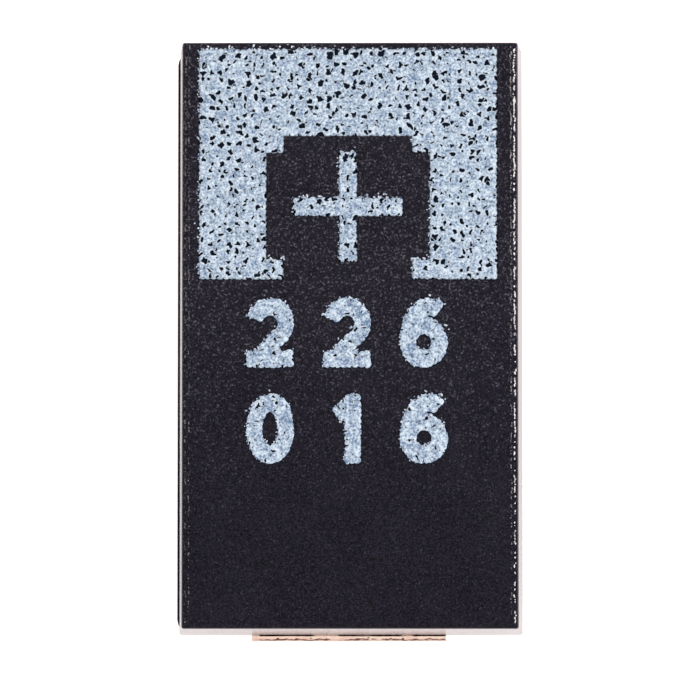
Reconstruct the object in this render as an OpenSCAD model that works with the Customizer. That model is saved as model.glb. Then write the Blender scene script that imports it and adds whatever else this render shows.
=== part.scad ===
// Moulded surface-mount tantalum capacitor with two terminals folded under its ends.
// Sizes are in millimetres. The origin is on the board under the middle of the part, +Z is up,
// and +Y points to the positive end. Each terminal is one strip of metal: a foot on the board, a
// riser up the end face, and an inner stretch that is moulded in and joined to the anode slug.

/* [Moulded body] */
// Length of the moulding at its parting line
body_l = 7.27; // [6.6:0.01:8.4]
// Width of the moulding at its parting line
body_w = 4.25; // [3.6:0.05:5.2]
// Height of the top face above the board
part_h = 2.8; // [2.7:0.05:3.4]
// Height of the parting line above the board
parting_h = 1.2; // [1.1:0.02:1.24]
// Draft angle of the walls above and below the parting line
draft = 3.5; // [2:0.5:6]
// Gap between the underside of the moulding and the board
standoff = 0.06; // [0.02:0.01:0.1]
// Radius of the upright corners above the parting line
upper_corner_r = 0.03; // [0.02:0.01:0.2]
// Radius of the upright corners below the parting line
lower_corner_r = 0.2; // [0.05:0.01:0.3]
// Round along the edges of the top face
top_edge_r = 0.02; // [0.02:0.005:0.08]
// Round along the edges of the underside
base_edge_r = 0.06; // [0.02:0.01:0.1]
// Sideways step between the two halves of the mould
mould_mismatch = 0.025; // [0:0.005:0.06]

/* [Walls round the element] */
// Moulding beside the coated slug, at each long side
side_wall = 0.42; // [0.3:0.02:0.6]
// Moulding over the coated slug
roof_wall = 0.3; // [0.24:0.02:0.36]
// Moulding under the shelf that carries the slug
floor_wall = 0.22; // [0.16:0.02:0.26]
// Moulding outside the drop of the negative terminal
cathode_wall = 0.45; // [0.4:0.05:0.7]
// Room for the wire between the slug and the positive end
anode_room = 1.85; // [1.6:0.05:2.4]

/* [Terminals] */
// Width of both terminals
lead_w = 2.4; // [1.8:0.1:2.6]
// Thickness of the terminal strip
lead_t = 0.1; // [0.08:0.01:0.14]
// Inner radius of every bend in the strip
bend_r = 0.03; // [0.03:0.01:0.1]
// How far the risers stand out past the parting line
lead_stand_out = 0.08; // [0.04:0.005:0.12]
// Length of each foot, from the outside of the riser
foot_l = 1.3; // [0.8:0.1:1.6]
// Gap between a foot and the moulding over it
foot_gap = 0.03; // [0.01:0.01:0.06]
// Gap round a foot and riser in their channel
channel_gap = 0.05; // [0.02:0.01:0.1]

/* [Shelf under the slug] */
// Length of the shelf under the slug
shelf_l = 2.4; // [1.6:0.1:3.2]
// Gap between the drop of the negative terminal and the coated slug
drop_gap = 0.06; // [0.05:0.01:0.12]
// Thickness of the adhesive on the shelf
adhesive_t = 0.04; // [0.03:0.01:0.06]
// Margin of bare metal round the adhesive
adhesive_margin = 0.15; // [0.1:0.05:0.3]

/* [Weld tab under the wire] */
// Reach of the positive terminal into the moulding
anode_reach = 0.95; // [0.85:0.05:1.3]
// Full-width stretch of that reach, before the narrow tongue
shoulder_reach = 0.4; // [0.3:0.05:0.5]
// Width of the tongue and of the upright tab on its end
tab_w = 1.2; // [0.8:0.1:1.6]

/* [Anode slug] */
// Radius of the slug's four long edges
slug_edge_r = 0.12; // [0.05:0.01:0.3]
// Diameter of the anode wire
wire_d = 0.3; // [0.2:0.02:0.34]
// Length of wire pressed into the slug
wire_embed = 2.5; // [1.5:0.1:3]
// Length of wire past the weld tab
wire_overhang = 0.1; // [0.05:0.05:0.3]
// Diameter of the washer on the wire
washer_d = 0.9; // [0.7:0.05:1.1]
// Thickness of the washer on the wire
washer_t = 0.15; // [0.1:0.01:0.25]

/* [Coatings of the slug] */
// Thickness of the conductive polymer
polymer_t = 0.05; // [0.03:0.01:0.07]
// Thickness of the graphite
graphite_t = 0.02; // [0.015:0.005:0.03]
// Thickness of the silver paint
silver_t = 0.03; // [0.02:0.005:0.04]
// Bare polymer left at the wire end
coat_setback = 0.12; // [0.05:0.01:0.3]

/* [Polarity mark] */
// Width of the marked band across the positive end
band_w = 3.61; // [3.2:0.01:3.7]
// Length of the marked band along the part
band_l = 2.79; // [2.4:0.005:3]
// Distance from the end of the top face to the band
band_inset = 0.08; // [0.06:0.005:0.3]
// Width of the window in the band
window_w = 1.96; // [1.7:0.02:2.4]
// Length of the window, from the open side of the band
window_l = 1.735; // [1.6:0.005:2]
// Width of each block that narrows the window at its corners
block_w = 0.21; // [0.1:0.005:0.3]
// Length of the two blocks at the closed side of the window
inner_block_l = 0.205; // [0.1:0.005:0.3]
// Length of the two blocks at the open side of the window
outer_block_l = 0.245; // [0.1:0.005:0.3]
// Length of each arm pair of the plus sign
plus_l = 1.335; // [1.1:0.005:1.4]
// Thickness of the plus sign's arms
plus_t = 0.23; // [0.15:0.005:0.35]
// Offset of the plus from the middle of the window, towards the positive end
plus_rise = 0.01; // [-0.05:0.005:0.05]
// Sideways offset of the mark from the middle of the top face
mark_shift = -0.025; // [-0.04:0.005:0.04]
// Depth to which the mark is burnt into the top face
mark_depth = 0.02; // [0.01:0.005:0.04]

/* [Hidden] */

$fn = 48;
corner_fn = 32;
edge_steps = 4;
skin = 0.001;
cut = 1;

// The moulding's two halves sit half a mismatch to either side of the middle.
upper_x = mould_mismatch / 2;
lower_x = -mould_mismatch / 2;
upper_h = part_h - parting_h;
lower_h = parting_h - standoff;
top_face_l = body_l - 2 * upper_h * tan(draft);

// Terminal strip: distances from the middle of the part to the faces at one end, and its heights.
bend_out = bend_r + lead_t;
bend_mid = bend_r + lead_t / 2;
riser_y = body_l / 2 + lead_stand_out;
exit_y = riser_y - bend_out;
foot_run = foot_l - bend_out;
riser_run = parting_h - 2 * bend_out;
lead_z = parting_h - lead_t / 2;
channel_top = lead_t + foot_gap;
channel_w = lead_w + 2 * channel_gap;

// Shelf under the slug and the drop that leads down to it.
shelf_z = channel_top + floor_wall;
shelf_top = shelf_z + lead_t;
drop_y = body_l / 2 - cathode_wall - lead_t / 2;
drop_run = lead_z - shelf_z - lead_t / 2 - 2 * bend_mid;
shelf_tip_y = drop_y - bend_mid - shelf_l;

// Slug: its coated outside fills the room that the walls and the terminals leave.
coat_t = polymer_t + graphite_t + silver_t;
slug_back = -(drop_y - lead_t / 2 - drop_gap - coat_t);
slug_front = body_l / 2 - anode_room;
slug_w = body_w - 2 * (side_wall + coat_t);
slug_bottom = shelf_top + adhesive_t + coat_t;
slug_top = part_h - roof_wall - coat_t;
slug_h = slug_top - slug_bottom;
slug_z = (slug_top + slug_bottom) / 2;

// Weld tab: its top edge is level with the middle of the wire.
tab_y = body_l / 2 - anode_reach;
tab_rise = slug_z - lead_z - bend_mid;
wire_end = tab_y + lead_t + wire_overhang;

// Polarity mark: the band starts at the positive end of the top face, and the plus fills its window.
band_end = top_face_l / 2 - band_inset;
band_start = band_end - band_l;
plus_y = band_start + window_l / 2 + plus_rise;

// Steps of each folded strip, from the tip of its foot: [straight run, quarter turn after it].
outer_steps = [[foot_run, 1], [riser_run, 1]];
cathode_steps = concat(outer_steps, [[exit_y - drop_y - bend_mid, 1], [drop_run, -1], [shelf_l, 0]]);
anode_steps = concat(outer_steps, [[exit_y - tab_y - bend_out, -1], [tab_rise, 0]]);

// ---- Shared shapes ----

// Rectangle with true arcs at its corners
module rounded_rect(w, l, r) {
    square([w - 2 * r, l], center = true);
    square([w, l - 2 * r], center = true);
    for (x = [-1, 1], y = [-1, 1])
        translate([x * (w / 2 - r), y * (l / 2 - r)]) circle(r);
}

// Quarter of a ring about the origin, on the side that a left (1) or right (-1) turn sweeps
module bend_section(turn) {
    reach = bend_out + cut;
    intersection() {
        difference() {
            circle(bend_out);
            circle(bend_r);
        }
        translate([0, turn > 0 ? -reach : 0]) square(reach);
    }
}

// A strip seen edge on. It starts at the origin, runs along +X and takes each step in turn.
module strip_section(steps, i = 0) {
    if (i < len(steps)) {
        run = steps[i][0];
        turn = steps[i][1];
        translate([0, -lead_t / 2]) square([run, lead_t]);
        if (turn != 0) {
            translate([run, turn * bend_mid]) bend_section(turn);
            translate([run + bend_mid, turn * bend_mid]) rotate(90 * turn) strip_section(steps, i + 1);
        }
    }
}

// A whole terminal at the positive end, starting at the tip of its foot on the board
module folded_strip(steps) {
    translate([lower_x - lead_w / 2, riser_y - foot_l, lead_t / 2])
        rotate([90, 0, 90]) linear_extrude(lead_w) strip_section(steps);
}

// Cylinder along +Y at the height of the wire, from y0 to y1
module rod(d, y0, y1) {
    translate([lower_x, y0, slug_z]) rotate([-90, 0, 0]) cylinder(h = y1 - y0, d = d);
}

// Outline of the slug, grown by the coats on it, from y0 to y1
module slug_block(grow, y0, y1) {
    translate([lower_x, y1, slug_z]) rotate([90, 0, 0])
        linear_extrude(y1 - y0) rounded_rect(slug_w + 2 * grow, slug_h + 2 * grow, slug_edge_r + grow);
}

// ---- Moulded body ----

// Thin slice of one half of the moulding, at a height above its parting line
module slice(z, inset, corner_r) {
    translate([0, 0, z]) linear_extrude(skin)
        rounded_rect(body_w - 2 * inset, body_l - 2 * inset, corner_r, $fn = corner_fn);
}

// One half of the moulding, drafted from the parting line up to a rounded edge
module drafted_half(height, corner_r, edge_r) {
    edge_inset = (height - edge_r) * tan(draft);
    end_inset = height * tan(draft);
    hull() {
        slice(0, 0, corner_r);
        for (i = [0 : edge_steps]) {
            a = 90 * i / edge_steps;
            slice(
                height - edge_r * (1 - sin(a)) - skin,
                max(edge_inset, end_inset * sin(a)) + edge_r * (1 - cos(a)),
                corner_r
            );
        }
    }
}

module upper_half() {
    translate([upper_x, 0, parting_h]) drafted_half(upper_h, upper_corner_r, top_edge_r);
}

module lower_half() {
    translate([lower_x, 0, parting_h]) mirror([0, 0, 1])
        drafted_half(lower_h, lower_corner_r, base_edge_r);
}

// Channel for the riser and foot at the positive end, cut into the lower half
module terminal_channel() {
    translate([lower_x - channel_w / 2, exit_y, -cut])
        cube([channel_w, bend_out + cut, parting_h + cut]);
    translate([lower_x - channel_w / 2, riser_y - foot_l - channel_gap, -cut])
        cube([channel_w, foot_l + channel_gap + cut, channel_top + cut]);
}

// Everything that the compound is moulded round
module moulded_in() {
    strip_cathode();
    strip_anode();
    adhesive_pad();
    slug_block(coat_t, slug_back - coat_t, slug_front - coat_setback);
    slug_block(polymer_t, slug_front - coat_setback, slug_front + polymer_t);
    rod(washer_d, slug_front, slug_front + washer_t);
    rod(wire_d, slug_front, wire_end);
}

module moulded_body() {
    color([0.14, 0.13, 0.16])
        difference() {
            union() {
                upper_half();
                difference() {
                    lower_half();
                    terminal_channel();
                    mirror([0, 1, 0]) terminal_channel();
                }
            }
            moulded_in();
            mark_solid();
        }
}

// ---- Polarity mark ----

module window_outline() {
    wide_l = window_l - inner_block_l - outer_block_l;
    translate([-window_w / 2, band_start + outer_block_l]) square([window_w, wide_l]);
    translate([-window_w / 2 + block_w, band_start - cut])
        square([window_w - 2 * block_w, window_l + cut]);
}

module plus_outline() {
    translate([0, plus_y]) {
        square([plus_l, plus_t], center = true);
        square([plus_t, plus_l], center = true);
    }
}

module mark_outline() {
    difference() {
        translate([-band_w / 2, band_start]) square([band_w, band_l]);
        window_outline();
    }
    plus_outline();
}

module mark_solid() {
    translate([upper_x + mark_shift, 0, part_h - mark_depth]) linear_extrude(mark_depth) mark_outline();
}

module polarity_mark() {
    color([0.74, 0.8, 0.88]) mark_solid();
}

// ---- Terminals ----

// The negative terminal drops to a shelf under the slug.
module strip_cathode() {
    mirror([0, 1, 0]) folded_strip(cathode_steps);
}

// The positive terminal narrows to a tongue, which is folded up and notched for the wire.
module strip_anode() {
    shoulder_w = (lead_w - tab_w) / 2;
    difference() {
        folded_strip(anode_steps);
        for (side = [0, 1])
            translate([lower_x, 0, 0]) mirror([side, 0, 0])
                translate([tab_w / 2, tab_y - cut, parting_h - bend_out])
                    cube([shoulder_w + cut, anode_reach - shoulder_reach + cut, slug_top]);
        rod(wire_d, tab_y - cut, tab_y + bend_out + cut);
    }
}

module cathode_terminal() {
    color([0.86, 0.79, 0.74]) strip_cathode();
}

module anode_terminal() {
    color([0.86, 0.79, 0.74]) strip_anode();
}

// ---- Capacitor element ----

module adhesive_pad() {
    pad_back = slug_back - coat_t + adhesive_margin;
    pad_front = -shelf_tip_y - adhesive_margin;
    pad_w = lead_w - 2 * adhesive_margin;
    translate([lower_x - pad_w / 2, pad_back, shelf_top]) cube([pad_w, pad_front - pad_back, adhesive_t]);
}

module silver_adhesive() {
    color([0.72, 0.72, 0.7]) adhesive_pad();
}

// A coat open at the wire end: what it grows to, less what it grows from
module open_coat(inner, outer) {
    difference() {
        slug_block(outer, slug_back - outer, slug_front - coat_setback);
        slug_block(inner, slug_back - inner, slug_front + cut);
    }
}

module silver_layer() {
    color([0.78, 0.78, 0.76]) open_coat(polymer_t + graphite_t, coat_t);
}

module graphite_layer() {
    color([0.2, 0.2, 0.21]) open_coat(polymer_t, polymer_t + graphite_t);
}

// The polymer wraps the slug on every side and stops at the washer.
module polymer_layer() {
    color([0.12, 0.14, 0.24])
        difference() {
            slug_block(polymer_t, slug_back - polymer_t, slug_front + polymer_t);
            slug_block(0, slug_back, slug_front);
            rod(washer_d, slug_front, slug_front + polymer_t + cut);
        }
}

module anode_slug() {
    color([0.34, 0.34, 0.37])
        difference() {
            slug_block(0, slug_back, slug_front);
            rod(wire_d, slug_front - wire_embed, slug_front + cut);
        }
}

module anode_wire() {
    color([0.55, 0.55, 0.6]) rod(wire_d, slug_front - wire_embed, wire_end);
}

module wire_washer() {
    color("white")
        difference() {
            rod(washer_d, slug_front, slug_front + washer_t);
            rod(wire_d, slug_front - cut, slug_front + washer_t + cut);
        }
}

moulded_body();
polarity_mark();
cathode_terminal();
anode_terminal();
silver_adhesive();
silver_layer();
graphite_layer();
polymer_layer();
anode_slug();
anode_wire();
wire_washer();
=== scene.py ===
import math
import random

import bmesh
import bpy
from mathutils import Matrix, Vector


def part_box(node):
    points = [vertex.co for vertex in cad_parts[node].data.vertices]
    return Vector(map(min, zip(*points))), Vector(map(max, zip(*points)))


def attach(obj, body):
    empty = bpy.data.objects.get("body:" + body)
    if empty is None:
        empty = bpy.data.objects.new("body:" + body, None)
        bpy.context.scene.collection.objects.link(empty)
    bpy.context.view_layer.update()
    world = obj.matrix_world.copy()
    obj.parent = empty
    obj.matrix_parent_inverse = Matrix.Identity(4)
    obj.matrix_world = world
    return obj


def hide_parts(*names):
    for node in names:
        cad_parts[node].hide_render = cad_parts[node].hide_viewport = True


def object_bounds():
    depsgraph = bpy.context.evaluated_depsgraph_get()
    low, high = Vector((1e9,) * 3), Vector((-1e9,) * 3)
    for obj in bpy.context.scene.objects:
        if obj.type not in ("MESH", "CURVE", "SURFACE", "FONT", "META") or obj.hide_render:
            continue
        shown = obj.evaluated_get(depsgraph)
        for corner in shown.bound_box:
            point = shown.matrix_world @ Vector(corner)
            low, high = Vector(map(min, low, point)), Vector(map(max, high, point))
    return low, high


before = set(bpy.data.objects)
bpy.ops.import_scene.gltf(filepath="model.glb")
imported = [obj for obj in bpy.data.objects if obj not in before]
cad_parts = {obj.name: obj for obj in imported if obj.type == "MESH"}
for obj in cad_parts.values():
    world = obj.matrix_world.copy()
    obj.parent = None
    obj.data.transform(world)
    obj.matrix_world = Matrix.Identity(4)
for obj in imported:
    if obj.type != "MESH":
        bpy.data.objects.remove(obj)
bpy.context.view_layer.update()
cad_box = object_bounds()

MM = 0.001
top_z = cad_box[1].z


# ---------------------------------------------------------------------------------------------
# Camera and set. Nothing here is part of the capacitor: a long lens looks down on the marked
# face from a little towards the negative end, over a lit white table, with a ring of soft
# light round it and nothing bright overhead.
# ---------------------------------------------------------------------------------------------
lens_height = 53 * MM
lens_offset = Vector((0.4 * MM, -2.845 * MM))
aim = Vector((0.0125 * MM, -0.184 * MM))
view_width = 8.434 * MM

camera = bpy.data.objects.new("camera", bpy.data.cameras.new("camera"))
bpy.context.scene.collection.objects.link(camera)
bpy.context.scene.camera = camera
camera.location = (lens_offset.x, lens_offset.y, top_z + lens_height)
sight = Vector((aim.x, aim.y, top_z)) - camera.location
back = -sight.normalized()
right = Vector((0, 1, 0)).cross(back).normalized()
camera.rotation_mode = "QUATERNION"
camera.rotation_quaternion = Matrix((right, back.cross(right), back)).transposed().to_quaternion()
camera.data.angle = 2 * math.atan(view_width / 2 / sight.length)
camera.data.clip_start = 1 * MM
camera.data.clip_end = 10


def linear(colour):
    """An sRGB hex colour as linear red, green, blue and alpha."""
    parts = [int(colour[i:i + 2], 16) / 255 for i in (1, 3, 5)]
    return [p / 12.92 if p <= 0.04045 else ((p + 0.055) / 1.055) ** 2.4 for p in parts] + [1]


def add(tree, kind, inputs=None, **settings):
    """Adds a node with its settings. An input given as a socket is linked; any other is a value."""
    made = tree.nodes.new(kind)
    for name, value in settings.items():
        setattr(made, name, value)
    for name, value in (inputs or {}).items():
        if isinstance(value, bpy.types.NodeSocket):
            tree.links.new(value, made.inputs[name])
        else:
            made.inputs[name].default_value = value
    return made


def finish_named(name, values):
    """A new material, its node tree and its surface shader, with values on the shader's sockets."""
    made = bpy.data.materials.new(name)
    made.use_nodes = True
    tree = made.node_tree
    surface = tree.nodes["Principled BSDF"]
    for socket, value in values.items():
        surface.inputs[socket].default_value = value
    return made, tree, surface


def wear(node_name, material):
    """Gives a CAD node its finish."""
    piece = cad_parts[node_name]
    piece.data.materials.clear()
    piece.data.materials.append(material)


table_half = 600 * MM
table_glow = 0.7
table_mesh = bpy.data.meshes.new("table")
table_corners = [(x * table_half, y * table_half, 0) for x, y in ((-1, -1), (1, -1), (1, 1), (-1, 1))]
table_mesh.from_pydata(table_corners, [], [(0, 1, 2, 3)])
table = bpy.data.objects.new("table", table_mesh)
bpy.context.scene.collection.objects.link(table)
lit_acrylic, tree, surface = finish_named("lit_white_acrylic", {
    "Base Color": linear("#f4f1f1"), "Roughness": 0.9,
    "Emission Color": linear("#ffeeee"), "Emission Strength": table_glow})
table.data.materials.append(lit_acrylic)

# The ring reaches up to where a direction's height is ring_top, and has faded at overhead.
ring_light, overhead_light = 2.0, 0.05
ring_top, overhead = 0.5, 0.68
world = bpy.data.worlds.new("studio")
bpy.context.scene.world = world
world.use_nodes = True
tree = world.node_tree
direction = add(tree, "ShaderNodeSeparateXYZ", {0: add(tree, "ShaderNodeTexCoord").outputs["Generated"]})
ring = add(tree, "ShaderNodeMapRange", {
    "Value": direction.outputs["Z"], "From Min": ring_top, "From Max": overhead,
    "To Min": ring_light, "To Max": overhead_light}, interpolation_type="SMOOTHSTEP")
tree.links.new(ring.outputs["Result"], tree.nodes["Background"].inputs["Strength"])
tree.nodes["Background"].inputs["Color"].default_value = (1, 1, 1, 1)

lamp_reach, lamp_height = 60 * MM, 50 * MM
lamp_width, lamp_length = 30 * MM, 60 * MM
for name, side, watts in (("key_light", 1, 0.022), ("fill_light", -1, 0.008)):
    lamp = bpy.data.lights.new(name, "AREA")
    lamp.shape = "RECTANGLE"
    lamp.size = lamp_width
    lamp.size_y = lamp_length
    lamp.energy = watts
    holder = bpy.data.objects.new(name, lamp)
    bpy.context.scene.collection.objects.link(holder)
    holder.location = (side * lamp_reach, 0, lamp_height)
    holder.rotation_mode = "QUATERNION"
    holder.rotation_quaternion = (-holder.location).to_track_quat("-Z", "Y")
    holder.visible_camera = False
bpy.context.scene.view_settings.view_transform = "Standard"


# ---------------------------------------------------------------------------------------------
# Moulded body. Epoxy moulding compound, black with carbon and packed with ground silica, pressed
# round the finished element in a two-part mould. The mould's roof is spark-eroded and leaves a
# fine matt grain, and its walls are polished. Pale specks, mostly on the roof, grow fewer and
# fainter towards the negative end, so the face is a little lighter towards the positive end.
# ---------------------------------------------------------------------------------------------
# The real grain and specks are finer than this, and are drawn as coarse as they need to show.
grain_size = 0.021 * MM
grain_depth = 0.006 * MM
speck_size = 0.026 * MM
specks_thin, specks_full = -2.2 * MM, 0.2 * MM
cloud_size = 0.6 * MM
wall_roughness = 0.19
roof_roughness = (0.3, 0.42)

epoxy, tree, surface = finish_named("moulded_epoxy", {"IOR": 1.5})
mapped = add(tree, "ShaderNodeTexCoord").outputs
place = mapped["Object"]
facing = add(tree, "ShaderNodeSeparateXYZ", {0: mapped["Normal"]}).outputs["Z"]
upright = add(tree, "ShaderNodeMath", {0: facing}, operation="ABSOLUTE").outputs[0]
roof = add(tree, "ShaderNodeMapRange", {"Value": upright, "From Min": 0.3, "From Max": 0.8}).outputs[0]
grain = add(tree, "ShaderNodeTexNoise", {
    "Vector": place, "Scale": 1 / grain_size, "Detail": 2, "Roughness": 0.6}).outputs["Fac"]
grain_tone = add(tree, "ShaderNodeMapRange", {"Value": grain, "From Min": 0.36, "From Max": 0.66})
base = add(tree, "ShaderNodeMix", {
    0: grain_tone.outputs[0], 6: linear("#010104"), 7: linear("#262130")}, data_type="RGBA")
along = add(tree, "ShaderNodeSeparateXYZ", {0: place}).outputs["Y"]
# Pale specks, fewer and fainter towards the negative end: the face is lighter towards the positive end.
speck_share = add(tree, "ShaderNodeMapRange", {
    "Value": along, "From Min": specks_thin, "From Max": specks_full}).outputs[0]
specks = add(tree, "ShaderNodeTexNoise", {
    "Vector": place, "Scale": 1 / speck_size, "Detail": 2, "Roughness": 0.7}).outputs["Fac"]
threshold = add(tree, "ShaderNodeMapRange", {"Value": speck_share, "To Min": 0.6, "To Max": 0.56}).outputs[0]
thinning = add(tree, "ShaderNodeMapRange", {"Value": speck_share, "To Min": 0.25, "To Max": 1.0}).outputs[0]
settled = add(tree, "ShaderNodeMapRange", {"Value": roof, "To Min": 0.3, "To Max": 1.0}).outputs[0]
most_specks = add(tree, "ShaderNodeMath", {0: settled, 1: thinning}, operation="MULTIPLY").outputs[0]
speck_mask = add(tree, "ShaderNodeMapRange", {
    "Value": specks, "From Min": threshold, "From Max": 0.69, "To Min": 0.0, "To Max": most_specks})
speckled = add(tree, "ShaderNodeMix", {
    0: speck_mask.outputs[0], 6: base.outputs[2], 7: linear("#6a6672")}, data_type="RGBA")
tree.links.new(speckled.outputs[2], surface.inputs["Base Color"])
clouds = add(tree, "ShaderNodeTexNoise", {"Vector": place, "Scale": 1 / cloud_size, "Detail": 2})
matt = add(tree, "ShaderNodeMapRange", {
    "Value": clouds.outputs["Fac"], "To Min": roof_roughness[0], "To Max": roof_roughness[1]})
polish = add(tree, "ShaderNodeMapRange", {
    "Value": roof, "To Min": wall_roughness, "To Max": matt.outputs[0]})
tree.links.new(polish.outputs[0], surface.inputs["Roughness"])
bite = add(tree, "ShaderNodeMapRange", {"Value": roof, "To Min": 0.04, "To Max": 0.35})
relief = add(tree, "ShaderNodeBump", {"Height": grain, "Strength": bite.outputs[0], "Distance": grain_depth})
tree.links.new(relief.outputs[0], surface.inputs["Normal"])
wear("moulded_body", epoxy)


# ---------------------------------------------------------------------------------------------
# Laser marks. A pulsed laser burns the skin of the moulding along a path of overlapping spots,
# once round each outline and then in rows across it. The resin foams into one pale crust, with a
# dark line of painted shade along its edge, and bubbles that burst in it leave black pits, each
# ringed by a painted pale highlight.
# ---------------------------------------------------------------------------------------------
spot_radius = 0.0455 * MM
spot_step = 0.062 * MM
spot_stray = 0.2 * spot_step
rim_step = 0.07 * MM
upper_rise = 0.012 * MM
crust_cell = 0.013 * MM
crust_height = 0.022 * MM
bubble_pitch = 0.108 * MM
bubble_radii = (0.0095 * MM, 0.031 * MM)
bubble_sway = 0.09 * MM
sway_size = 0.07 * MM
mottle_size = 0.09 * MM
foam_size = 0.028 * MM
foam_depth = 0.006 * MM
mark_low, mark_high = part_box("polarity_mark")
mark_depth = mark_high.z - mark_low.z


def bubble_reach(tree, place, pitting):
    """How far a place lies from its nearest burst bubble, in radii of that bubble."""
    sway = add(tree, "ShaderNodeTexNoise", {
        "Vector": place, "Scale": 1 / sway_size, "Detail": 1}, noise_dimensions="2D").outputs["Color"]
    centred = add(tree, "ShaderNodeVectorMath", {0: sway, 1: (0.5, 0.5, 0.5)}, operation="SUBTRACT")
    swayed = add(tree, "ShaderNodeVectorMath", {
        0: centred.outputs[0], 1: (bubble_sway, bubble_sway, bubble_sway), 2: place},
        operation="MULTIPLY_ADD")
    bubbles = add(tree, "ShaderNodeTexVoronoi", {
        "Vector": swayed.outputs[0], "Scale": 1 / bubble_pitch, "Randomness": 0.85},
        voronoi_dimensions="2D").outputs
    size = add(tree, "ShaderNodeSeparateXYZ", {0: bubbles["Color"]}).outputs["X"]
    radius = add(tree, "ShaderNodeMapRange", {
        "Value": size, "To Min": bubble_radii[0] / bubble_pitch, "To Max": bubble_radii[1] / bubble_pitch})
    grown = add(tree, "ShaderNodeMath", {0: radius.outputs[0], 1: pitting}, operation="MULTIPLY").outputs[0]
    return add(tree, "ShaderNodeMath", {0: bubbles["Distance"], 1: grown}, operation="DIVIDE").outputs[0]


crust, tree, surface = finish_named("burnt_epoxy", {
    "IOR": 1.5, "Roughness": 0.9, "Specular IOR Level": 0.15})
place = add(tree, "ShaderNodeTexCoord").outputs["Object"]
mottle = add(tree, "ShaderNodeTexNoise", {
    "Vector": place, "Scale": 1 / mottle_size, "Detail": 2}).outputs["Fac"]
foam = add(tree, "ShaderNodeTexNoise", {
    "Vector": place, "Scale": 1 / foam_size, "Detail": 2, "Roughness": 0.6}).outputs["Fac"]
both = add(tree, "ShaderNodeMix", {0: 0.65, 2: mottle, 3: foam})
tint = add(tree, "ShaderNodeMapRange", {"Value": both.outputs[0], "From Min": 0.38, "From Max": 0.62})
pale = add(tree, "ShaderNodeMix", {
    0: tint.outputs[0], 6: linear("#6c84a6"), 7: linear("#e8f4ff")}, data_type="RGBA")
reach = add(tree, "ShaderNodeAttribute", attribute_name="reach").outputs["Fac"]
pitting = add(tree, "ShaderNodeAttribute", attribute_name="pitting").outputs["Fac"]
foamy_reach = add(tree, "ShaderNodeMath", {0: foam, 1: 0.35, 2: reach}, operation="MULTIPLY_ADD")
# A dark line of painted shade along the crust's edge.
rim = add(tree, "ShaderNodeMapRange", {"Value": foamy_reach.outputs[0], "From Min": 1.13, "From Max": 1.21})
from_bubble = bubble_reach(tree, place, pitting)
pit = add(tree, "ShaderNodeMapRange", {"Value": from_bubble, "From Min": 1.15, "From Max": 0.95})
# A painted highlight: the crust round each pit is mixed towards white.
pit_highlight = add(tree, "ShaderNodeMapRange", {
    "Value": from_bubble, "From Min": 2.0, "From Max": 1.2, "To Min": 0.0, "To Max": 0.45})
pit_highlighted = add(tree, "ShaderNodeMix", {
    0: pit_highlight.outputs[0], 6: pale.outputs[2], 7: linear("#ecf6ff")}, data_type="RGBA")
# Near black: painted shade along the crust's edge, and the black resin laid bare in its pits.
edge_shade_and_pits = add(tree, "ShaderNodeMath", {0: rim.outputs[0], 1: pit.outputs[0]}, operation="MAXIMUM")
crust_colour = add(tree, "ShaderNodeMix", {
    0: edge_shade_and_pits.outputs[0], 6: pit_highlighted.outputs[2], 7: linear("#0c1628")}, data_type="RGBA")
tree.links.new(crust_colour.outputs[2], surface.inputs["Base Color"])
foam_relief = add(tree, "ShaderNodeBump", {"Height": foam, "Strength": 0.5, "Distance": foam_depth})
tree.links.new(foam_relief.outputs[0], surface.inputs["Normal"])


def outline_of(node_name):
    """The closed outlines of a CAD node's top faces, each with the face on its left."""
    weld = 0.0005 * MM
    mesh = bmesh.new()
    mesh.from_mesh(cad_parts[node_name].data)
    bmesh.ops.remove_doubles(mesh, verts=mesh.verts, dist=weld)
    for face in mesh.faces:
        face.tag = face.normal.z > 0.5
    after = {}
    for face in mesh.faces:
        for corner in face.loops:
            if face.tag and sum(other.tag for other in corner.edge.link_faces) == 1:
                after[corner.vert] = corner.link_loop_next.vert
    loops = []
    while after:
        vert = next(iter(after))
        loop = []
        while vert in after:
            loop.append(vert.co.xy.copy())
            vert = after.pop(vert)
        loops.append(without_straights(loop))
    mesh.free()
    return loops


def without_straights(loop):
    """The loop without the points that lie on a straight stretch."""
    kept = []
    for i, point in enumerate(loop):
        coming = point - loop[i - 1]
        going = loop[(i + 1) % len(loop)] - point
        if abs(coming.angle_signed(going)) > math.radians(1):
            kept.append(point)
    return kept


def inset(loop, distance):
    """A closed outline moved to its left by a distance, with its corners kept square."""
    moved = []
    for i, point in enumerate(loop):
        before = (point - loop[i - 1]).normalized()
        after = (loop[(i + 1) % len(loop)] - point).normalized()
        side = Vector((-before.y - after.y, before.x + after.x))
        moved.append(point + side * distance / (1 + before.dot(after)))
    return moved


def sides_of(loops):
    """Every side of the closed outlines, as pairs of ends."""
    return [(a, b) for loop in loops for a, b in zip(loop, loop[1:] + loop[:1])]


def pulses(loops):
    """The spots that fill closed outlines: (x, y, 1 on an outline, 1 on an upper edge)."""
    places = []
    sides = sides_of(loops)
    for a, b in sides:
        count = max(1, round((b - a).length / rim_step))
        upper = (b - a).normalized().x < -0.5
        rise = Vector((0, upper_rise if upper else 0))
        places += [(*(a.lerp(b, i / count) + rise), 1, upper) for i in range(count)]
    low = min(a.y for a, b in sides)
    high = max(a.y for a, b in sides)
    rows = round((high - low) / spot_step)
    for row in range(1, rows):
        y = low + (high - low) * row / rows
        crossed = [(a, b) for a, b in sides if (a.y > y) != (b.y > y)]
        crossings = sorted(a.x + (b.x - a.x) * (y - a.y) / (b.y - a.y) for a, b in crossed)
        for left, right_end in zip(crossings[::2], crossings[1::2]):
            count = max(1, round((right_end - left) / spot_step))
            places += [(left + (right_end - left) * i / count, y, 0, 0) for i in range(1, count)]
    return places


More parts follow.
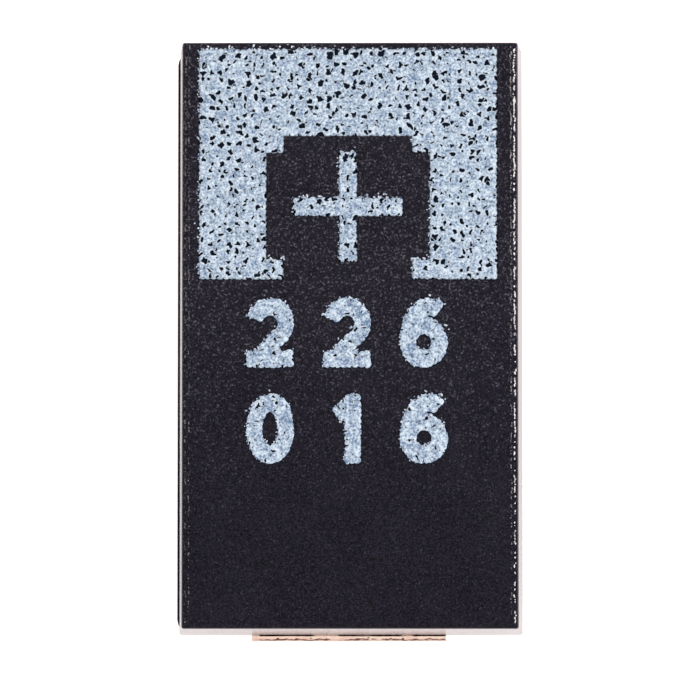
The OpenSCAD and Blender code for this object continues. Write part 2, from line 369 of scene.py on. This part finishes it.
def new_group(name, inputs):
    """An empty Geometry Nodes tree with named inputs after its geometry."""
    group = bpy.data.node_groups.new(name, "GeometryNodeTree")
    group.interface.new_socket("Geometry", in_out="INPUT", socket_type="NodeSocketGeometry")
    for label, kind in inputs.items():
        group.interface.new_socket(label, in_out="INPUT", socket_type="NodeSocket" + kind)
    group.interface.new_socket("Geometry", in_out="OUTPUT", socket_type="NodeSocketGeometry")
    return group


def crust_tree():
    """Geometry Nodes that raise one closed sheet of crust wherever a spot reaches.

    Each spot is thrown a little astray. A fine grid over them all keeps the cells that lie near
    a spot, is closed underneath, and swells except in its pits and along its rim.
    """
    group = new_group("laser_crust", {
        "Cell": "Float", "Radius": "Float", "Height": "Float", "Stray": "Float", "Pitting": "Float",
        "Seed": "Int", "Material": "Material"})
    given = add(group, "NodeGroupInput").outputs

    # The spots. Those on an outline go less astray, except on its upper edges.
    points = add(group, "GeometryNodeMeshToPoints", {
        "Mesh": given["Geometry"], "Radius": given["Radius"]}).outputs[0]
    edge = add(group, "GeometryNodeInputNamedAttribute", {"Name": "edge"}, data_type="FLOAT").outputs[0]
    upper = add(group, "GeometryNodeInputNamedAttribute", {"Name": "upper"}, data_type="FLOAT").outputs[0]
    throw = add(group, "FunctionNodeRandomValue", {
        0: (-1, -1, 0), 1: (1, 1, 0), 8: given["Seed"]}, data_type="FLOAT_VECTOR").outputs[0]
    steadied = add(group, "ShaderNodeMath", {0: edge, 1: -0.7, 2: 1.0}, operation="MULTIPLY_ADD")
    loosened = add(group, "ShaderNodeMath", {
        0: upper, 1: 0.7, 2: steadied.outputs[0]}, operation="MULTIPLY_ADD")
    stray = add(group, "ShaderNodeMath", {0: loosened.outputs[0], 1: given["Stray"]}, operation="MULTIPLY")
    offset = add(group, "ShaderNodeVectorMath", {0: throw, 3: stray.outputs[0]}, operation="SCALE")
    strewn = add(group, "GeometryNodeSetPosition", {
        "Geometry": points, "Offset": offset.outputs[0]}).outputs[0]

    # The grid. A bounding box of points takes in their radius, on every side.
    room = add(group, "GeometryNodeBoundBox", {"Geometry": strewn}).outputs
    low = add(group, "ShaderNodeSeparateXYZ", {0: room["Min"]}).outputs
    high = add(group, "ShaderNodeSeparateXYZ", {0: room["Max"]}).outputs
    extent, cells = {}, {}
    for axis in "XY":
        span = add(group, "ShaderNodeMath", {0: high[axis], 1: low[axis]}, operation="SUBTRACT").outputs[0]
        extent[axis] = add(group, "ShaderNodeMath", {
            0: span, 1: given["Radius"]}, operation="ADD").outputs[0]
        cells[axis] = add(group, "ShaderNodeMath", {
            0: extent[axis], 1: given["Cell"]}, operation="DIVIDE").outputs[0]
    grid = add(group, "GeometryNodeMeshGrid", {
        "Size X": extent["X"], "Size Y": extent["Y"], "Vertices X": cells["X"], "Vertices Y": cells["Y"]})
    middle = add(group, "ShaderNodeMix", {0: 0.5, 4: room["Min"], 5: room["Max"]}, data_type="VECTOR")
    sheet = add(group, "GeometryNodeTransform", {
        "Geometry": grid.outputs["Mesh"], "Translation": middle.outputs[1]}).outputs[0]

    # How far each place of the grid lies from a spot, in radii of a spot that swells and shrinks.
    wander, wander_size = 0.03 * MM, 0.035 * MM
    swell_size = 0.25 * MM
    place = add(group, "GeometryNodeInputPosition").outputs[0]
    height = add(group, "ShaderNodeSeparateXYZ", {0: place}).outputs["Z"]
    along = add(group, "ShaderNodeSeparateXYZ", {0: place}).outputs["Y"]
    drift = add(group, "ShaderNodeTexNoise", {
        "Vector": place, "Scale": 1 / wander_size, "Detail": 1}).outputs["Color"]
    centred = add(group, "ShaderNodeVectorMath", {0: drift, 1: (0.5, 0.5, 0.5)}, operation="SUBTRACT")
    nudged = add(group, "ShaderNodeVectorMath", {
        0: centred.outputs[0], 1: (wander, wander, 0), 2: place}, operation="MULTIPLY_ADD").outputs[0]
    nearest = add(group, "GeometryNodeProximity", {
        "Geometry": strewn, "Sample Position": nudged}, target_element="POINTS").outputs["Distance"]
    swell = add(group, "ShaderNodeTexNoise", {
        "Vector": place, "Scale": 1 / swell_size, "Detail": 1}).outputs["Fac"]
    swollen = add(group, "ShaderNodeMath", {0: swell, 1: 0.4, 2: 0.8}, operation="MULTIPLY_ADD")
    spot = add(group, "ShaderNodeMath", {0: given["Radius"], 1: swollen.outputs[0]}, operation="MULTIPLY")
    distance = add(group, "ShaderNodeMath", {0: nearest, 1: spot.outputs[0]}, operation="DIVIDE").outputs[0]
    beyond = add(group, "FunctionNodeCompare", {
        0: distance, 1: 1.25}, data_type="FLOAT", operation="GREATER_THAN").outputs[0]
    kept = add(group, "GeometryNodeDeleteGeometry", {
        "Geometry": sheet, "Selection": beyond}, domain="FACE").outputs[0]
    reached = add(group, "GeometryNodeStoreNamedAttribute", {
        "Geometry": kept, "Name": "reach", "Value": distance}, data_type="FLOAT", domain="POINT").outputs[0]

    # How much the crust is pitted: more along upper edges and towards the positive end.
    hot_from, hot_to = 2.0 * MM, 3.0 * MM
    nearest_spot = add(group, "GeometryNodeSampleNearest", {
        "Geometry": strewn, "Sample Position": place}, domain="POINT").outputs[0]
    by_upper = add(group, "GeometryNodeSampleIndex", {
        "Geometry": strewn, "Value": upper, "Index": nearest_spot},
        data_type="FLOAT", domain="POINT").outputs[0]
    hotter = add(group, "ShaderNodeMapRange", {
        "Value": along, "From Min": hot_from, "From Max": hot_to, "To Min": 1.0, "To Max": 1.15})
    torn = add(group, "ShaderNodeMath", {0: by_upper, 1: 0.3, 2: 1.0}, operation="MULTIPLY_ADD")
    hot_pitting = add(group, "ShaderNodeMath", {
        0: given["Pitting"], 1: hotter.outputs[0]}, operation="MULTIPLY")
    pitting = add(group, "ShaderNodeMath", {
        0: hot_pitting.outputs[0], 1: torn.outputs[0]}, operation="MULTIPLY").outputs[0]
    marked = add(group, "GeometryNodeStoreNamedAttribute", {
        "Geometry": reached, "Name": "pitting", "Value": pitting},
        data_type="FLOAT", domain="POINT").outputs[0]

    # The sheet closed underneath.
    skin = 0.003 * MM
    under = add(group, "GeometryNodeFlipFaces", {"Mesh": marked}).outputs[0]
    over = add(group, "GeometryNodeExtrudeMesh", {
        "Mesh": marked, "Offset": (0, 0, 1), "Offset Scale": skin, "Individual": False}).outputs[0]
    halves = add(group, "GeometryNodeJoinGeometry", {"Geometry": under})
    group.links.new(over, halves.inputs[0])
    closed = add(group, "GeometryNodeMergeByDistance", {
        "Geometry": halves.outputs[0], "Distance": 0.1 * skin}).outputs[0]

    # The swelling of its upper side.
    lump_size = 0.03 * MM
    floor_level = add(group, "ShaderNodeMath", {0: low["Z"], 1: given["Radius"]}, operation="ADD").outputs[0]
    above = add(group, "ShaderNodeMath", {0: height, 1: floor_level}, operation="SUBTRACT").outputs[0]
    on_top = add(group, "FunctionNodeCompare", {
        0: above, 1: skin / 2}, data_type="FLOAT", operation="GREATER_THAN").outputs[0]
    stored = add(group, "GeometryNodeInputNamedAttribute", {"Name": "reach"}, data_type="FLOAT").outputs[0]
    level = add(group, "ShaderNodeMapRange", {
        "Value": stored, "From Min": 1.0, "From Max": 0.7, "To Min": 0.0, "To Max": 1.0},
        interpolation_type="SMOOTHSTEP").outputs[0]
    lumps = add(group, "ShaderNodeTexNoise", {
        "Vector": place, "Scale": 1 / lump_size, "Detail": 2}).outputs["Fac"]
    lumpy = add(group, "ShaderNodeMath", {0: lumps, 1: 0.4}, operation="ADD").outputs[0]
    pit_wall = add(group, "ShaderNodeMapRange", {
        "Value": bubble_reach(group, place, pitting), "From Min": 0.8, "From Max": 1.3}).outputs[0]
    pitted = add(group, "ShaderNodeMath", {0: level, 1: pit_wall}, operation="MULTIPLY").outputs[0]
    raised = add(group, "ShaderNodeMath", {0: pitted, 1: given["Height"]}, operation="MULTIPLY").outputs[0]
    rise = add(group, "ShaderNodeMath", {0: raised, 1: lumpy}, operation="MULTIPLY").outputs[0]
    lifted = add(group, "GeometryNodeSetPosition", {
        "Geometry": closed, "Selection": on_top,
        "Offset": add(group, "ShaderNodeCombineXYZ", {"Z": rise}).outputs[0]})
    smooth = add(group, "GeometryNodeSetShadeSmooth", {"Geometry": lifted.outputs[0]})
    solid = add(group, "GeometryNodeRealizeInstances", {"Geometry": smooth.outputs[0]})
    painted = add(group, "GeometryNodeSetMaterial", {
        "Geometry": solid.outputs[0], "Material": given["Material"]})
    add(group, "NodeGroupOutput", {"Geometry": painted.outputs[0]})
    return group


def grow(name, group, places, attributes, sizes):
    """Runs a Geometry Nodes tree on a set of places and keeps the result as a plain mesh."""
    path = bpy.data.meshes.new(name + "_path")
    path.from_pydata(places, [], [])
    for attribute, values in attributes.items():
        path.attributes.new(attribute, "FLOAT", "POINT").data.foreach_set("value", values)
    carrier = bpy.data.objects.new(name + "_path", path)
    bpy.context.scene.collection.objects.link(carrier)
    modifier = carrier.modifiers.new("grown", "NODES")
    modifier.node_group = group
    for socket in group.interface.items_tree:
        if socket.item_type == "SOCKET" and socket.in_out == "INPUT" and socket.name in sizes:
            modifier[socket.identifier] = sizes[socket.name]
    bpy.context.view_layer.update()
    ready = carrier.evaluated_get(bpy.context.evaluated_depsgraph_get())
    piece = bpy.data.objects.new(name, bpy.data.meshes.new_from_object(ready))
    bpy.context.scene.collection.objects.link(piece)
    bpy.data.objects.remove(carrier)
    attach(piece, "root")
    return piece


laser = crust_tree()


def burn(name, regions, floor_z, pitting, seed):
    """A mark burnt into the regions, each a list of closed outlines."""
    spots = []
    for loops in regions:
        spots += pulses([inset(loop, spot_radius) for loop in loops])
    return grow(
        name, laser, [(x, y, floor_z) for x, y, edge, upper in spots],
        {"edge": [float(spot[2]) for spot in spots], "upper": [float(spot[3]) for spot in spots]},
        {"Cell": crust_cell, "Radius": spot_radius, "Height": crust_height, "Stray": spot_stray,
         "Pitting": pitting, "Seed": seed, "Material": crust})


band_loops = outline_of("polarity_mark")
polarity = burn("polarity_crust", [band_loops], top_z - mark_depth, pitting=1.0, seed=3)
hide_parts("polarity_mark")

# Numerals, two rows of plain figures drawn by the same laser in one stroke width.
digit_height = 0.83 * MM
digit_width = 0.578 * MM
stroke_width = 0.2 * MM
column_step = 0.927 * MM
first_column = -0.951 * MM
row_bases = (-0.397 * MM, -1.556 * MM)
half_stroke = stroke_width / 2
side_reach = digit_width / 2 - half_stroke
bowl_reach = 0.2 * MM
numeral_bite = 0.002 * MM


def arc(centre_y, reach_x, reach_y, start, stop, centre_x=0.0):
    """Points on part of an oval, about one spot apart on the outside of the stroke."""
    sweep = math.radians(stop - start)
    count = max(4, round(abs(sweep) * (max(reach_x, reach_y) + half_stroke) / spot_step))
    angles = [math.radians(start) + sweep * i / count for i in range(count + 1)]
    return [Vector((centre_x + reach_x * math.cos(a), centre_y + reach_y * math.sin(a))) for a in angles]


def stroke(line, closed=False):
    """The outlines of a stroke drawn along a line, with square ends."""
    points = line[:-1] if closed else line
    left, right_side = [], []
    for i, point in enumerate(points):
        if closed:
            before, after = points[i - 1], points[(i + 1) % len(points)]
        else:
            before, after = points[max(i - 1, 0)], points[min(i + 1, len(points) - 1)]
        along_line = (after - before).normalized()
        side = Vector((-along_line.y, along_line.x)) * half_stroke
        left.append(point + side)
        right_side.append(point - side)
    return [right_side, left[::-1]] if closed else [right_side + left[::-1]]


def figure(digit):
    """The strokes of a numeral, about its middle line and from its base up."""
    top = digit_height - half_stroke
    base_line = half_stroke
    middle = digit_height / 2
    if digit == "0":
        return [stroke(arc(middle, side_reach, middle - half_stroke, 0, 360), closed=True)]
    if digit == "1":
        stem_x = 0.07 * MM
        flag_tip = Vector((-0.13 * MM, top - 0.15 * MM))
        flag = [Vector((stem_x, top)), flag_tip]
        return [stroke([Vector((stem_x, 0)), Vector((stem_x, digit_height))]), stroke(flag)]
    if digit == "2":
        bend = arc(top - bowl_reach, side_reach, bowl_reach, 165, -40)
        foot = Vector((-side_reach + 0.03 * MM, base_line))
        bar = [Vector((-digit_width / 2, base_line)), Vector((digit_width / 2, base_line))]
        return [stroke(bend + [foot]), stroke(bar)]
    lean = 0.07 * MM
    bowl = arc(base_line + bowl_reach, side_reach, bowl_reach, 0, 360)
    stem = arc(base_line + bowl_reach, side_reach + lean, top - base_line - bowl_reach, 180, 62, lean)
    return [stroke(bowl, closed=True), stroke(stem)]


figures = []
for base_line, digits in zip(row_bases, ("226", "016")):
    for column, digit in enumerate(digits):
        corner = Vector((first_column + column * column_step, base_line))
        figures += [[[corner + point for point in loop] for loop in loops] for loops in figure(digit)]
burn("numerals_crust", figures, top_z - numeral_bite, pitting=0.5, seed=11)


# ---------------------------------------------------------------------------------------------
# Spatter and edge flash. The burn throws grains of foamed resin past the upper and left-hand
# edges of each mark, where they stick. Along the long edges of the top face a thin flash of
# silica-rich resin has crumbled and left broken rows of grains. The outer row on the right-hand
# edge is painted pale, as a painted highlight where the key light catches that edge.
# ---------------------------------------------------------------------------------------------
flash, tree, surface = finish_named("flash_painted_highlight", {"IOR": 1.5, "Roughness": 0.7})
tone = add(tree, "ShaderNodeAttribute", attribute_name="tone").outputs["Fac"]
# Painted highlight: a grain's tone runs it from near black to pale pink.
flash_highlight_colour = add(tree, "ShaderNodeMix", {
    0: tone, 6: linear("#34313a"), 7: linear("#fff2f4")}, data_type="RGBA")
tree.links.new(flash_highlight_colour.outputs[2], surface.inputs["Base Color"])
thrown_resin, tree, surface = finish_named("thrown_resin", {"IOR": 1.5, "Roughness": 0.85})
tone = add(tree, "ShaderNodeAttribute", attribute_name="tone").outputs["Fac"]
thrown_colour = add(tree, "ShaderNodeMix", {
    0: tone, 6: linear("#8494ad"), 7: linear("#e6eef9")}, data_type="RGBA")
tree.links.new(thrown_colour.outputs[2], surface.inputs["Base Color"])


def grain_shape():
    """One low grain of six sides, 1 in radius and 1 high, on a flat base."""
    corners = 6
    mesh = bmesh.new()
    drawn = []
    for radius, height in ((1.0, 0.0), (0.75, 0.7)):
        turns = [math.tau * i / corners for i in range(corners)]
        drawn.append([mesh.verts.new((radius * math.cos(a), radius * math.sin(a), height)) for a in turns])
    peak = mesh.verts.new((0, 0, 1))
    for i in range(corners):
        j = (i + 1) % corners
        mesh.faces.new((drawn[0][i], drawn[0][j], drawn[1][j], drawn[1][i]))
        mesh.faces.new((drawn[1][i], drawn[1][j], peak))
    mesh.faces.new(reversed(drawn[0]))
    made = bpy.data.meshes.new("grain")
    mesh.to_mesh(made)
    mesh.free()
    shape = bpy.data.objects.new("grain", made)
    bpy.context.scene.collection.objects.link(shape)
    return shape


def grain_tree():
    """Geometry Nodes that set a grain on each place, turned at random and drawn out along +Y."""
    group = new_group("strewn_grains", {
        "Grain": "Object", "Turn": "Float", "Seed": "Int", "Material": "Material"})
    given = add(group, "NodeGroupInput").outputs
    points = add(group, "GeometryNodeMeshToPoints", {"Mesh": given["Geometry"]})
    width, length, shade = (
        add(group, "GeometryNodeInputNamedAttribute", {"Name": name}, data_type="FLOAT").outputs[0]
        for name in ("width", "length", "shade"))
    spin = add(group, "FunctionNodeRandomValue", {
        0: (0, 0, -1), 1: (0, 0, 1), 8: given["Seed"]}, data_type="FLOAT_VECTOR").outputs[0]
    angle = add(group, "ShaderNodeVectorMath", {0: spin, 3: given["Turn"]}, operation="SCALE").outputs[0]
    shape = add(group, "GeometryNodeObjectInfo", {"Object": given["Grain"]}).outputs["Geometry"]
    placed = add(group, "GeometryNodeInstanceOnPoints", {
        "Points": points.outputs[0], "Instance": shape,
        "Rotation": add(group, "FunctionNodeEulerToRotation", {0: angle}).outputs[0],
        "Scale": add(group, "ShaderNodeCombineXYZ", {"X": width, "Y": length, "Z": width}).outputs[0]})
    toned = add(group, "GeometryNodeStoreNamedAttribute", {
        "Geometry": placed.outputs[0], "Name": "tone", "Value": shade},
        data_type="FLOAT", domain="INSTANCE")
    solid = add(group, "GeometryNodeRealizeInstances", {"Geometry": toned.outputs[0]})
    painted = add(group, "GeometryNodeSetMaterial", {
        "Geometry": solid.outputs[0], "Material": given["Material"]})
    add(group, "NodeGroupOutput", {"Geometry": painted.outputs[0]})
    return group


strewn_grains = grain_tree()
loose_grain = grain_shape()
grain_sinks = 0.001 * MM


def strew(name, grains, turn, seed, material):
    """Grains, each (x, y, width, length, shade), set on the top face as one piece."""
    places = [(x, y, top_z - grain_sinks) for x, y, width, length, shade in grains]
    columns = [[grain[i] for grain in grains] for i in (2, 3, 4)]
    return grow(
        name, strewn_grains, places, dict(zip(("width", "length", "shade"), columns)),
        {"Grain": loose_grain, "Turn": turn, "Seed": seed, "Material": material})


# Thrown grains. For an upper edge and for a left-hand one: their spacing along it, how far they
# land from it on average, and the widest of them.
upper_throw = (0.032 * MM, 0.012 * MM, 0.014 * MM)
side_throw = (0.06 * MM, 0.007 * MM, 0.01 * MM)
narrowest = 0.006 * MM
farthest = 0.06 * MM
overlap = 0.004 * MM
least_facing = 0.3
chance = random.Random(5)
thrown_grains = []
for loops in [band_loops] + figures:
    for a, b in sides_of(loops):
        along_side = (b - a).normalized()
        outward = Vector((along_side.y, -along_side.x))
        if outward.y < least_facing and outward.x > -least_facing:
            continue
        spacing, mean_throw, widest = upper_throw if outward.y >= least_facing else side_throw
        for _ in range(round((b - a).length / spacing)):
            far = min(chance.expovariate(1 / mean_throw), farthest)
            x, y = a.lerp(b, chance.random()) + outward * (far - overlap)
            width = chance.uniform(narrowest, widest)
            thrown_grains.append((x, y, width, width * chance.uniform(1, 2.2), chance.random()))
strew("mark_spatter", thrown_grains, math.pi, 21, thrown_resin)

# Flash. Each row has its edge, its distance inside it, the share of its places that hold a grain,
# and its grains' widths and shades. The shades paint a pale highlight on the outer row of the
# right-hand edge and leave the other rows dark. It is fullest and widest at the positive end.
level_with = 0.001 * MM
rim_points = [v.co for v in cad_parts["moulded_body"].data.vertices if v.co.z > top_z - level_with]
face_left = min(point.x for point in rim_points)
face_right = max(point.x for point in rim_points)
flash_rows = (
    (face_right, 0.024 * MM, 0.92, (0.009 * MM, 0.013 * MM), (0.6, 1.0)),
    (face_right, 0.066 * MM, 0.7, (0.006 * MM, 0.011 * MM), (0.0, 0.35)),
    (face_left, 0.022 * MM, 0.5, (0.008 * MM, 0.012 * MM), (0.0, 0.12)),
    (face_left, 0.065 * MM, 0.5, (0.007 * MM, 0.012 * MM), (0.0, 0.15)),
)
flash_from, flash_to = -3.48 * MM, 3.5 * MM
flash_waver = 0.004 * MM
flash_steps = (0.022 * MM, 0.042 * MM)
flash_grains = []
for edge_x, inward, share, widths, shades in flash_rows:
    inside = 1 if edge_x < 0 else -1
    y = flash_from
    while y < flash_to:
        if chance.random() < share * (0.8 + 0.06 * y / MM):
            width = chance.uniform(*widths) * (0.87 + 0.04 * y / MM)
            x = edge_x + inside * inward + chance.gauss(0, flash_waver)
            flash_grains.append((x, y, width, width * chance.uniform(1, 3), chance.uniform(*shades)))
        y += chance.uniform(*flash_steps)
strew("edge_flash", flash_grains, 0.35, 22, flash)
bpy.data.objects.remove(loose_grain)


# ---------------------------------------------------------------------------------------------
# Terminals. Two strips of copper alloy, tin-plated, stamped in a lead frame and folded round the
# ends of the moulding after it is cured. The plate is satin and drawn out along the strip by the
# forming tool, copper shows where it has worn thin, and a brown line runs along the upper bend.
# A dark line of painted shade lies on the strip where it leaves the moulding.
# ---------------------------------------------------------------------------------------------
draw_width = 0.04 * MM
patch_size = 0.2 * MM
wave_size = 0.05 * MM
wave_depth = 0.006 * MM
run_length = 0.09 * MM
brown_from, brown_to, brown_fade = 1.18 * MM, 1.2 * MM, 0.006 * MM
brown_sway, ragged_size = 0.1 * MM, 0.06 * MM
exit_shade_reach, exit_shade_sway, exit_shade_fade = 0.024 * MM, 0.02 * MM, 0.004 * MM
clean_side, marked_side = 0.085 * MM, 0.1 * MM
body_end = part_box("moulded_body")[1].y
strip_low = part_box("cathode_terminal")[0].x

tin, tree, surface = finish_named("tinned_copper_strip", {"Metallic": 1.0})
place = add(tree, "ShaderNodeTexCoord").outputs["Object"]
axes = add(tree, "ShaderNodeSeparateXYZ", {0: place}).outputs
down_strip = add(tree, "ShaderNodeMapping", {"Vector": place, "Scale": (1, 0.12, 0.12)}).outputs[0]
across_strip = add(tree, "ShaderNodeMapping", {"Vector": place, "Scale": (0.25, 1, 1)}).outputs[0]
draw_lines = add(tree, "ShaderNodeTexNoise", {
    "Vector": down_strip, "Scale": 1 / draw_width, "Detail": 3}).outputs["Fac"]
patches = add(tree, "ShaderNodeTexNoise", {
    "Vector": place, "Scale": 1 / patch_size, "Detail": 3}).outputs["Fac"]
waves = add(tree, "ShaderNodeTexNoise", {
    "Vector": across_strip, "Scale": 1 / wave_size, "Detail": 2}).outputs["Fac"]
bare = add(tree, "ShaderNodeMapRange", {"Value": patches, "From Min": 0.35, "From Max": 0.65})
worn = add(tree, "ShaderNodeMix", {0: 0.5, 2: bare.outputs[0], 3: draw_lines})
metal = add(tree, "ShaderNodeMix", {
    0: worn.outputs[0], 6: linear("#c2b0a3"), 7: linear("#b08d7e")}, data_type="RGBA")

# A brown line along the upper bend, and a dark line of painted shade where the strip leaves the
# moulding. Both are broken into runs, and stop short of one side of the strip.
ragged = add(tree, "ShaderNodeTexNoise", {
    "Vector": place, "Scale": 1 / ragged_size, "Detail": 2}).outputs["Fac"]
wavy = add(tree, "ShaderNodeMath", {
    0: ragged, 1: brown_sway, 2: axes["Z"]}, operation="MULTIPLY_ADD").outputs[0]
below_top = add(tree, "ShaderNodeMapRange", {
    "Value": wavy, "From Min": brown_to + brown_fade, "From Max": brown_to}).outputs[0]
above_foot = add(tree, "ShaderNodeMapRange", {
    "Value": wavy, "From Min": brown_from - brown_fade, "From Max": brown_from}).outputs[0]
# A brown line along the upper bend.
brown_line = add(tree, "ShaderNodeMath", {0: below_top, 1: above_foot}, operation="MULTIPLY").outputs[0]
outward_y = add(tree, "ShaderNodeMath", {0: axes["Y"]}, operation="ABSOLUTE").outputs[0]
wavy_y = add(tree, "ShaderNodeMath", {
    0: waves, 1: exit_shade_sway, 2: outward_y}, operation="MULTIPLY_ADD").outputs[0]
# Painted shade: a dark line on the strip where it leaves the moulding.
exit_shade = add(tree, "ShaderNodeMapRange", {
    "Value": wavy_y, "From Min": body_end + exit_shade_reach + exit_shade_fade, "From Max": body_end + exit_shade_reach})
runs = add(tree, "ShaderNodeTexNoise", {
    "Vector": across_strip, "Scale": 1 / run_length, "Detail": 0}).outputs["Fac"]
broken = add(tree, "ShaderNodeMapRange", {"Value": runs, "From Min": 0.36, "From Max": 0.4}).outputs[0]
from_side = add(tree, "ShaderNodeMapRange", {
    "Value": axes["X"], "From Min": strip_low + clean_side,
    "From Max": strip_low + marked_side}).outputs[0]
there = add(tree, "ShaderNodeMath", {0: broken, 1: from_side}, operation="MULTIPLY").outputs[0]
brown_line_there = add(tree, "ShaderNodeMath", {0: brown_line, 1: there}, operation="MULTIPLY").outputs[0]
exit_shade_there = add(tree, "ShaderNodeMath", {0: exit_shade.outputs[0], 1: there}, operation="MULTIPLY").outputs[0]
browned = add(tree, "ShaderNodeMix", {
    0: brown_line_there, 6: metal.outputs[2], 7: linear("#53302a")}, data_type="RGBA")
# The strip's colour, with the painted shade mixed in where it leaves the moulding.
shaded_strip = add(tree, "ShaderNodeMix", {
    0: exit_shade_there, 6: browned.outputs[2], 7: linear("#0c070d")}, data_type="RGBA")
tree.links.new(shaded_strip.outputs[2], surface.inputs["Base Color"])
satin = add(tree, "ShaderNodeMapRange", {"Value": draw_lines, "To Min": 0.2, "To Max": 0.36})
tree.links.new(satin.outputs[0], surface.inputs["Roughness"])
ripple = add(tree, "ShaderNodeBump", {"Height": waves, "Strength": 0.35, "Distance": wave_depth})
tree.links.new(ripple.outputs[0], surface.inputs["Normal"])
wear("cathode_terminal", tin)
wear("anode_terminal", tin)


# ---------------------------------------------------------------------------------------------
# Capacitor element, sealed inside the moulding: a pressed and sintered slug of tantalum powder
# on its wire, then coats of conductive polymer, graphite and silver paint, a washer round the
# wire, and a pad of silver-filled adhesive that bonds it to the negative terminal's shelf.
# ---------------------------------------------------------------------------------------------
def coat(name, dark, light, grain, relief, values):
    """A material of mottled colour and rough relief, with its grain at a real size."""
    made, tree, surface = finish_named(name, values)
    place = add(tree, "ShaderNodeTexCoord").outputs["Object"]
    mottle = add(tree, "ShaderNodeTexNoise", {
        "Vector": place, "Scale": 1 / grain, "Detail": 4, "Roughness": 0.6}).outputs["Fac"]
    colour = add(tree, "ShaderNodeMix", {0: mottle, 6: linear(dark), 7: linear(light)}, data_type="RGBA")
    tree.links.new(colour.outputs[2], surface.inputs["Base Color"])
    bump = add(tree, "ShaderNodeBump", {"Height": mottle, "Strength": 0.7, "Distance": relief})
    tree.links.new(bump.outputs[0], surface.inputs["Normal"])
    return made


# The sintered slug is dull and porous and its wire has a soft shine. The polymer is a matt film of
# dark blue, graphite is matt black, silver paint and adhesive are pale, and PTFE is waxy white.
sintered = coat(
    "sintered_tantalum", "#45454b", "#7d7d84", 0.03 * MM, 0.01 * MM, {"Metallic": 0.9, "Roughness": 0.6})
drawn_wire = coat(
    "drawn_tantalum", "#8b8b92", "#a9a9b1", 0.02 * MM, 0.002 * MM, {"Metallic": 1.0, "Roughness": 0.32})
polymer_film = coat(
    "conductive_polymer_film", "#10121f", "#232a47", 0.08 * MM, 0.006 * MM, {"IOR": 1.5, "Roughness": 0.45})
graphite = coat(
    "graphite_coat", "#1b1b1d", "#3a3a3d", 0.04 * MM, 0.006 * MM, {"IOR": 1.6, "Roughness": 0.55})
silver_paint = coat(
    "silver_flake_paint", "#a9a9a4", "#d6d5cf", 0.02 * MM, 0.004 * MM, {"Metallic": 0.8, "Roughness": 0.5})
adhesive = coat(
    "silver_filled_adhesive", "#989892", "#c4c3bc", 0.05 * MM, 0.008 * MM,
    {"Metallic": 0.7, "Roughness": 0.6})
ptfe = coat("sintered_ptfe", "#dcdcd6", "#f0f0ec", 0.1 * MM, 0.003 * MM, {"IOR": 1.35, "Roughness": 0.5})
wear("anode_slug", sintered)
wear("anode_wire", drawn_wire)
wear("polymer_layer", polymer_film)
wear("graphite_layer", graphite)
wear("silver_layer", silver_paint)
wear("silver_adhesive", adhesive)
wear("wire_washer", ptfe)
